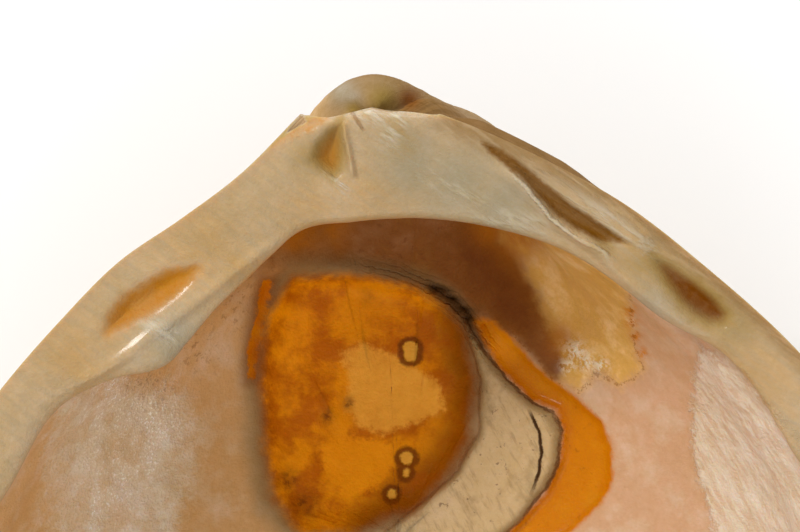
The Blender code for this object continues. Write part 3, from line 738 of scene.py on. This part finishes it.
grown = new_node("GeometryNodeSetPosition", {"Geometry": given["Geometry"], "Offset": push}).outputs[0]
grown = new_node("GeometryNodeRealizeInstances", {"Geometry": grown}).outputs[0]
grown = new_node("GeometryNodeSetMaterial", {"Geometry": grown, "Material": given["Inside"]}).outputs[0]
grown = new_node("GeometryNodeSetMaterial", {
    "Geometry": grown, "Material": given["Outside"], "Selection": sum_of("GREATER_THAN", outer, 0.99),
}).outputs[0]
new_node("NodeGroupOutput", {"Geometry": grown})

ribs = valve.modifiers.new("ribs", "NODES")
ribs.node_group = tree
rib_inputs = {**rib_sizes, **coverings}
for item in tree.interface.items_tree:
    if item.in_out == "INPUT" and item.name in rib_inputs:
        ribs[item.identifier] = rib_inputs[item.name]
finished = bpy.data.meshes.new_from_object(valve.evaluated_get(bpy.context.evaluated_depsgraph_get()))
valve.modifiers.remove(ribs)
valve.data = finished

tipped = Matrix.Rotation(REST_TILT, 4, "X")
finished.transform(tipped)
points = np.empty(len(finished.vertices) * 3, np.float32)
finished.vertices.foreach_get("co", points)
points = points.reshape(-1, 3)
low, high = points.min(axis=0), points.max(axis=0)
rest_place = (np.add(*solid_box) - low - high) / 2
rest_place[2] = -low[2] - WORN_FLAT_DEPTH
points += rest_place
points[:, 2] = np.maximum(points[:, 2], 0.0)
finished.vertices.foreach_set("co", points.ravel())
finished.validate()
finished.update()
finished.set_sharp_from_angle(angle=SHARP_ANGLE)
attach(valve, "root")
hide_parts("valve")

# Glaze of the inside: aragonite with a waxy gloss, cream on the shelf and pink in the hollow. The deep end
# under the shelf is painted brown for its shade, and the blister's thin floor is painted glowing amber for
# the light that comes through it.


def mixed(recipes):
    """Paints as linear colours, from sRGB colours given from 0 to 255."""
    ready = {}
    for name, recipe in recipes.items():
        shares = [c / 255 for c in recipe]
        linear = [s / 12.92 if s <= 0.04045 else ((s + 0.055) / 1.055) ** 2.4 for s in shares]
        ready[name] = (*linear, 1.0)
    return ready


paints = mixed({
    "cream": (191, 162, 121), "grey": (160, 146, 118), "yellow": (190, 152, 98), "olive": (160, 130, 72),
    "margin": (152, 120, 74), "pit stain": (172, 120, 46), "amber stain": (188, 122, 22),
    "chalk": (206, 192, 166), "back stain": (118, 64, 2), "groove": (126, 80, 16),
    "peach": (190, 154, 106), "tan": (208, 162, 106), "pink": (206, 162, 124), "scar": (226, 208, 184),
    "scar grey": (222, 202, 168), "glint": (255, 250, 240), "old tan": (226, 176, 82),
    "pale tan": (250, 212, 152), "brown": (138, 82, 26), "dark brown": (118, 64, 20),
    "umbo olive": (158, 108, 44), "fleck": (156, 114, 66), "rust": (176, 104, 18),
    "nodule": (246, 230, 200), "layer": (108, 72, 34), "line": (60, 34, 10), "outline": (92, 66, 38),
    # 'hole', 'band', 'band deep', 'amber', 'amber deep', 'bright floor' and 'orange floor' are painted light
    # that comes through thin shell
    "roof": (196, 166, 120), "roof grey": (150, 124, 82), "hole": (238, 172, 60), "band": (204, 122, 0),
    "band deep": (206, 132, 8), "amber": (240, 150, 4), "amber deep": (198, 106, 0),
    "amber brown": (128, 64, 0), "bright floor": (246, 172, 58), "orange floor": (246, 154, 8),
})


def noise_of(vector, size, detail=4.0, roughness=0.55):
    """Noise with grains of a size in metres, from about 0.3 to 0.7."""
    return new_node("ShaderNodeTexNoise", {
        "Vector": vector, "Scale": 1 / size, "Detail": detail, "Roughness": roughness,
    }).outputs["Fac"]


def streaks_of(vector, turn, length, width):
    """Noise drawn out along a direction of the lips' plane, given in degrees."""
    turned = new_node("ShaderNodeMapping", {"Vector": vector, "Rotation": (0, 0, -math.radians(turn))})
    drawn = new_node("ShaderNodeMapping", {"Vector": turned.outputs[0], "Scale": (width / length, 1, 1)})
    return noise_of(drawn.outputs[0], width, 3.0, 0.65)


def blend_of(factor, first, second, kind="MIX"):
    """Mix of two colours, each an output or a paint's name."""
    node = new_node("ShaderNodeMix", {"Factor": factor}, data_type="RGBA", blend_type=kind)
    for colour, socket in ((first, node.inputs[6]), (second, node.inputs[7])):
        join(paints[colour] if isinstance(colour, str) else colour, socket)
    return node.outputs[2]


def painted(under, *coats):
    """A colour under coats, each given as how much it covers and its colour."""
    for cover, over in coats:
        under = blend_of(cover, under, over)
    return under


tree = mottle = bpy.data.node_groups.new("Mottled shell", "ShaderNodeTree")
for name, way, kind in (
    ("Place", "INPUT", "Vector"), ("Strength", "INPUT", "Float"), ("Tone", "OUTPUT", "Color"),
    ("Clouds", "OUTPUT", "Float"), ("Grain", "OUTPUT", "Float"),
):
    tree.interface.new_socket(name, in_out=way, socket_type="NodeSocket" + kind)
taken = tree.nodes.new("NodeGroupInput").outputs
clouds = noise_of(taken["Place"], 6 * MM)
grain = noise_of(taken["Place"], 0.7 * MM, 5.0, 0.65)
speck = noise_of(taken["Place"], 0.25 * MM, 2.0)
tone = 0.0
for part, weight in ((clouds, 1.4), (grain, 1.0), (speck, 0.5)):
    tone = sum_of("MULTIPLY_ADD", sum_of("SUBTRACT", part, 0.5), weight, tone)
tone = sum_of("MULTIPLY_ADD", tone, taken["Strength"], 1.0)
warmer = sum_of("MULTIPLY_ADD", tone, 0.75, 0.25)
tint = new_node("ShaderNodeCombineColor", {"Red": warmer, "Green": tone, "Blue": product(tone, tone)})
new_node("NodeGroupOutput", {"Tone": tint.outputs["Color"], "Clouds": clouds, "Grain": grain})

shell_inside.use_nodes = True
tree = shell_inside.node_tree
shader = tree.nodes["Principled BSDF"]
place = tree.nodes.new("ShaderNodeTexCoord").outputs["Object"]
mottled = new_node("ShaderNodeGroup", {"Place": place, "Strength": 0.28}, node_tree=mottle).outputs
patches = noise_of(place, 2.2 * MM, 4.0, 0.62)
fine = noise_of(place, 0.5 * MM, 3.0, 0.75)
glints = noise_of(place, 0.16 * MM, 2.0)
PLATE_TURN, SCAR_TURN = -36, -62
plate_streaks = streaks_of(place, PLATE_TURN, 3.0 * MM, 0.45 * MM)
scar_streaks = streaks_of(place, SCAR_TURN, 1.6 * MM, 0.35 * MM)
shift = sum_of("MULTIPLY_ADD", fine, 0.7, -0.35)


def mark(name):
    """A mark on the valve's points, read inside a material."""
    return new_node("ShaderNodeAttribute", {}, attribute_name=name).outputs["Fac"]


def edge_of(name, softness, push=1.0, at=0.0):
    """1 inside a marked outline, with an uneven edge of the given softness in millimetres."""
    uneven = sum_of("MULTIPLY_ADD", shift, push, mark(name))
    return rise_of(uneven, at - softness, at + softness)


def line_of(name, width, push=0.3, at=0.0):
    """1 along a marked outline's edge and 0 beyond a width in millimetres."""
    uneven = sum_of("MULTIPLY_ADD", shift, push, mark(name))
    return rise_of(sum_of("ABSOLUTE", sum_of("SUBTRACT", uneven, at)), 0.3 * width, width, 1.0, 0.0)


patchy = rise_of(patches, 0.38, 0.62)
front_scar, back_scar = edge_of("front_scar", 1.1, 3.0), edge_of("back_scar", 0.25, 2.2)
old_tan = blend_of(rise_of(patches, 0.42, 0.7, 0.0, 0.85), "old tan", "pale tan")
shade_blotch = product(mark("shade_patch"), rise_of(patches, 0.25, 0.75, 0.6, 1.5))
hollow = painted(
    "tan",
    (mark("side"), "pink"),
    (rise_of(patches, 0.45, 0.7, 0.0, 0.3), "scar"),
    (product(front_scar, rise_of(patches, 0.35, 0.6, 0.5, 1.0)), "scar grey"),
    (product(front_scar, rise_of(patches, 0.4, 0.6, 0.2, 0.7)), "scar"),
    # Painted highlights: white glints in the front scar
    (product(mark("sparkle"), rise_of(glints, 0.56, 0.64), rise_of(patches, 0.4, 0.6, 0.3, 1.0)), "glint"),
    (product(back_scar, rise_of(scar_streaks, 0.36, 0.62, 0.45, 1.0)), "scar"),
    (product(edge_of("tan", 0.5, 1.5), rise_of(patches, 0.3, 0.6, 0.75, 1.0)), old_tan),
    # Painted shade of the deep end under the shelf: brown, mottled with olive and dark brown
    (product(mark("umbo_shade"), rise_of(patches, 0.3, 0.55, 0.85, 1.0)), "brown"),
    (product(mark("umbo_shade"), rise_of(patches, 0.5, 0.7, 0.0, 0.7)), "umbo olive"),
    (product(mark("umbo_shade"), rise_of(fine, 0.56, 0.68), 0.6), "dark brown"),
    (product(mark("flecked"), rise_of(fine, 0.54, 0.64), 0.65), "fleck"),
    # Painted shade: the brown and dark brown blotch on the back wall under the shelf
    (rise_of(shade_blotch, 0.0, 0.7), "brown"),
    (rise_of(shade_blotch, 0.2, 1.4), "dark brown"),
    (product(mark("rust"), rise_of(patches, 0.35, 0.6, 0.4, 0.9)), "rust"),
    (product(mark("nodules"), rise_of(fine, 0.42, 0.55)), "nodule"),
    (product(mark("bright_edge"), rise_of(fine, 0.4, 0.55)), "band"),
    (rise_of(mark("chamber"), -1.5, -0.1, 0.0, 0.85), "roof grey"),
    (rise_of(mark("sliver"), -0.7, 0.1, 0.0, 0.6), "amber brown"),
    # Painted light: the sliver is amber for the light that comes through it
    (edge_of("sliver", 0.15, 1.3), blend_of(patchy, "amber deep", "band")),
)
layering = sum_of("MULTIPLY_ADD", mark("rim_offset"), 3.4, product(patches, 3.0))
layering = sum_of("ABSOLUTE", sum_of("SUBTRACT", sum_of("FRACT", layering), 0.5))
layer_line = product(rise_of(layering, 0.0, 0.22, 1.0, 0.0), mark("rim_near"))
# Painted light: the band beyond the roof is amber for the light that comes through its thin shell
amber_gap = painted(
    "band deep",
    (rise_of(patches, 0.3, 0.55), "band"),
    (rise_of(mark("band"), 0.1, 0.9, 0.45, 0.0), "amber deep"),
    (rise_of(fine, 0.58, 0.76, 0.0, 0.4), "amber brown"),
    # Painted light at the glow spots
    (product(mark("glow"), 0.9), "amber"),
)
roof_tone = painted(
    "roof grey",
    (rise_of(mark("roof"), 0.0, 0.6), "roof"),
    (rise_of(patches, 0.5, 0.7, 0.0, 0.6), "roof grey"),
    (rise_of(scar_streaks, 0.5, 0.7, 0.0, 0.5), "roof grey"),
    (rise_of(fine, 0.62, 0.7, 0.0, 0.6), "outline"),
)
edge_shade = sum_of("MULTIPLY_ADD", patches, 2.4, mark("chamber"))
# Painted light: the chamber's floor is amber, orange and bright yellow for the light that comes through it
amber = painted(
    "amber deep",
    (patchy, "amber"),
    # Painted shade: amber brown along the chamber's edge and on its side next to the roof
    (rise_of(edge_shade, 0.7, 2.0, 0.8, 0.0), "amber brown"),
    (product(rise_of(mark("roof"), -3.0, -0.6), rise_of(patches, 0.35, 0.6, 0.5, 0.9)), "amber brown"),
    (edge_of("orange", 0.3, 1.6), "orange floor"),
    (product(edge_of("bright", 0.3, 1.6), rise_of(patches, 0.25, 0.5, 0.7, 1.0)), "bright floor"),
    (product(mark("pits"), rise_of(fine, 0.4, 0.6, 0.5, 1.0)), "amber brown"),
    # Painted light at the glow spots
    (product(mark("glow"), 0.6), "amber"),
)
cracked = product(line_of("crack", 0.13, 0.35), mark("crack_on"))
by_gap = rise_of(mark("band"), -0.6, -0.1)
# Painted shadow: a dark line along the roof's edge on the band's side, where the raised roof drops to the
# band
roof_edge_shadow = product(line_of("roof", 0.09, 0.4), rise_of(patches, 0.4, 0.55, 0.2, 0.7), by_gap)
tan_edge = product(line_of("tan", 0.12, 1.5), rise_of(fine, 0.48, 0.56, 0.0, 0.5))
tan_edge = product(tan_edge, rise_of(mark("side"), 0.9, 1.0))
hollow = painted(
    hollow,
    (product(mark("rim_near"), 0.8), "layer"),
    (product(layer_line, 0.6), "line"),
    (edge_of("band", 0.2, 0.6), amber_gap),
    (edge_of("roof", 0.1, 0.4), roof_tone),
    (edge_of("chamber", 0.6, 1.0), amber),
    (product(line_of("holes", 0.3, 0.5, -0.1), 0.9), "amber brown"),
    # Painted light: the holes are bright yellow for the light that comes through them
    (edge_of("holes", 0.08, 0.45), "hole"),
    (roof_edge_shadow, "outline"),
    (tan_edge, "amber brown"),
    (cracked, "line"),
    # Painted shadow in the gap
    (mark("shadowed_gap"), "line"),
)

chalky = product(mark("chalk"), rise_of(plate_streaks, 0.42, 0.64))
shelf = painted(
    "cream",
    (product(mark("yellow"), 0.9), "yellow"),
    (product(mark("grey"), 0.9), "grey"),
    (product(mark("olive"), 0.7), "olive"),
    (rise_of(plate_streaks, 0.35, 0.7, 0.0, 0.35), "grey"),
    (product(chalky, 0.9), "chalk"),
    (product(mark("margin"), rise_of(plate_streaks, 0.35, 0.6, 0.45, 0.95)), "margin"),
)
for name, shore, deep, deepest in (
    ("front_socket", "amber stain", "amber stain", 0.4),
    ("back_socket", "olive", "back stain", 0.7),
    ("pit", "olive", "pit stain", 0.7),
):
    bed = blend_of(rise_of(mark(name), 0.0, deepest), shore, deep)
    covered = product(edge_of(name, 0.45, 0.8, -0.1), rise_of(patches, 0.3, 0.6, 0.8, 1.0))
    shelf = blend_of(covered, shelf, bed)
ledge_line = product(line_of("ledge", 0.16, 0.4), mark("ledge_on"))
creviced = product(line_of("crevice", 0.12, 0.3), mark("crevice_on"), 0.5)
shelf = painted(
    shelf,
    (product(edge_of("groove", 0.18, 0.6), rise_of(plate_streaks, 0.3, 0.6, 1.0, 0.85)), "groove"),
    (product(ledge_line, rise_of(plate_streaks, 0.35, 0.6, 0.1, 0.6)), "chalk"),
    # Painted glow: peach at the front corner beside the beak, where light shines through the thin shell
    (edge_of("corner", 0.2, 0.6), "peach"),
    (product(mark("crease"), rise_of(fine, 0.4, 0.6, 0.1, 0.55)), "amber stain"),
    (creviced, "groove"),
)
colour = blend_of(1.0, blend_of(mark("shelf"), hollow, shelf), mottled["Tone"], "MULTIPLY")


def greatest(*values):
    """The greatest of the values."""
    most = values[0]
    for value in values[1:]:
        most = sum_of("MAXIMUM", most, value)
    return most


dull = greatest(
    mark("umbo_shade"), rise_of(mark("chamber"), -1.2, -0.2), edge_of("roof", 0.2), edge_of("corner", 0.3),
    product(edge_of("band", 0.3), 0.3), edge_of("front_socket", 0.3), edge_of("back_socket", 0.3),
    edge_of("pit", 0.3), edge_of("groove", 0.3),
)
waxy = greatest(product(mark("shelf"), 0.55), product(mark("side"), 0.45), product(front_scar, 0.5))
waxy = product(waxy, rise_of(dull, 0.0, 0.5, 1.0, 0.0), rise_of(chalky, 0.0, 1.0, 1.0, 0.3))
scarred = greatest(front_scar, back_scar)
bump_height = product(fine, sum_of("MULTIPLY_ADD", scarred, 1.5, 0.3))
for raised, rise in (
    (glints, sum_of("MULTIPLY_ADD", scarred, 0.5, 0.7)),
    (ledge_line, 1.5),
    (mark("nodules"), product(fine, 5.0)),
    (product(mark("shelf"), plate_streaks), 0.9),
    (chalky, 1.2),
    (edge_of("roof", 0.1, 0.4), 1.5),
    (cracked, -3.0),
    (creviced, -2.0),
    (layer_line, -1.2),
    (edge_of("holes", 0.1, 0.2), -1.5),
    (roof_edge_shadow, -1.0),
):
    bump_height = sum_of("MULTIPLY_ADD", raised, rise, bump_height)
bump = new_node("ShaderNodeBump", {"Strength": 0.6, "Distance": 0.12 * MM, "Height": bump_height})
feed(shader, {
    "Base Color": colour,
    "Roughness": sum_of("MULTIPLY_ADD", chalky, 0.3, sum_of("MULTIPLY_ADD", fine, 0.35, 0.2)),
    "Coat Weight": waxy, "Coat Roughness": 0.18, "Coat IOR": 1.4,
    "Normal": bump.outputs["Normal"], "IOR": 1.55, "Specular IOR Level": 0.05,
    "Subsurface Weight": 0.3, "Subsurface Radius": (1.0, 0.55, 0.25), "Subsurface Scale": 0.9 * MM,
})

# Crust of the outside: matt calcite, tan with browner growth bands and furrows, pale rays and patches, and
# a rubbed beak with a painted highlight on its dome.
paints = mixed({
    "tan": (182, 152, 110), "brown": (148, 112, 70), "pale": (206, 186, 152), "strip": (134, 100, 58),
    "beak": (142, 108, 58), "beak_highlight": (166, 150, 122), "beak_brown": (122, 66, 2),
    "beak_corner_glow": (204, 166, 116), "beak_olive": (152, 122, 56),
})
shell_outside.use_nodes = True
tree = shell_outside.node_tree
shader = tree.nodes["Principled BSDF"]
place = tree.nodes.new("ShaderNodeTexCoord").outputs["Object"]
mottled = new_node("ShaderNodeGroup", {"Place": place, "Strength": 0.5}, node_tree=mottle).outputs
share = mark("share")
age = sum_of("MULTIPLY_ADD", mottled["Clouds"], 0.012, mark("growth"))
ages = new_node("ShaderNodeTexNoise", {"W": age, "Scale": 26.0, "Detail": 5.0}, noise_dimensions="1D")
ages = ages.outputs["Fac"]
rays = new_node("ShaderNodeTexNoise", {"W": share, "Scale": 260.0, "Detail": 2.0}, noise_dimensions="1D")
rays = rays.outputs["Fac"]
rib_angle = product(sum_of("SUBTRACT", share, RIBBED[0]), RIB_COUNT * TAU)
rib_angle = sum_of("DIVIDE", rib_angle, RIBBED[1] - RIBBED[0])
furrow = sum_of("MULTIPLY_ADD", sum_of("COSINE", rib_angle), 0.5, 0.5)
furrow = product(sum_of("POWER", furrow, 3.0), rise_of(mark("growth"), 0.1, 0.5))
crust = painted(
    "tan",
    (rise_of(ages, 0.42, 0.72, 0.0, 0.7), "brown"),
    (rise_of(rays, 0.45, 0.75, 0.0, 0.5), "pale"),
    (rise_of(mottled["Clouds"], 0.5, 0.7, 0.0, 0.6), "pale"),
    (product(furrow, 0.55), "brown"),
    (mark("strip"), "strip"),
    (rise_of(mark("growth"), 0.06, 0.4, 0.85, 0.0), "beak"),
)
for name in ("beak_corner_glow", "beak_highlight", "beak_olive", "beak_brown"):
    crust = blend_of(mark(name), crust, name)
crust_height = sum_of("MULTIPLY_ADD", ages, 2.5, sum_of("ADD", rays, mottled["Grain"]))
crust_height = sum_of("MULTIPLY_ADD", furrow, -1.5, crust_height)
bump = new_node("ShaderNodeBump", {"Strength": 0.6, "Distance": 0.1 * MM, "Height": crust_height})
feed(shader, {
    "Base Color": blend_of(1.0, crust, mottled["Tone"], "MULTIPLY"),
    "Roughness": sum_of("MULTIPLY_ADD", mottled["Grain"], 0.3, 0.55),
    "Normal": bump.outputs["Normal"], "IOR": 1.5, "Specular IOR Level": 0.06,
})

# The studio: a pale floor, one soft key light from the upper left, a fill, and a light behind the beak.
FLOOR_SIZE = 3.0
bpy.ops.mesh.primitive_plane_add(size=FLOOR_SIZE, location=(0, 0, 0))
floor = bpy.context.object
floor.name = "studio_floor"
floor_paint = bpy.data.materials.new("studio floor")
floor_paint.use_nodes = True
feed(floor_paint.node_tree.nodes["Principled BSDF"], {"Base Color": (0.98, 0.985, 0.99, 1), "Roughness": 0.9})
floor.data.materials.append(floor_paint)

world = bpy.data.worlds.new("studio")
bpy.context.scene.world = world
world.use_nodes = True
feed(world.node_tree.nodes["Background"], {"Color": (1.0, 1.0, 1.0, 1), "Strength": 0.55})
bpy.context.scene.view_settings.view_transform = "Standard"

hinge = Vector(rest_place.tolist())
for name, where, size, power, sparkle, colour in (
    ("key", (-0.24, 0.18, 0.36), 0.10, 1.3, 0.5, (1.0, 0.99, 0.97)),
    ("fill", (0.02, -0.36, 0.30), 0.30, 0.5, 0.3, (1.0, 1.0, 1.0)),
    ("back", (0.05, 0.40, 0.10), 0.20, 0.5, 0.3, (1.0, 0.99, 0.97)),
):
    lamp = bpy.data.lights.new(name, "AREA")
    lamp.size = size
    lamp.energy = power
    lamp.color = colour
    lamp.specular_factor = sparkle
    holder = bpy.data.objects.new(name, lamp)
    holder.location = hinge + Vector(where)
    holder.rotation_euler = (-Vector(where)).to_track_quat("-Z", "Y").to_euler()
    bpy.context.scene.collection.objects.link(holder)

# The camera looks straight down on the lips' plane from close above, with the beak at the picture's top.
PICTURE_WIDTH = 43.2 * MM
camera_data = bpy.data.cameras.new("camera")
camera_data.sensor_width = 36.0
camera_data.lens = camera_data.sensor_width * EYE[2] / PICTURE_WIDTH
camera_data.clip_start = 0.01
camera = bpy.data.objects.new("camera", camera_data)
bpy.context.scene.collection.objects.link(camera)
camera.matrix_world = Matrix.Translation(hinge) @ tipped @ Matrix.Translation(EYE.tolist())
bpy.context.scene.camera = camera
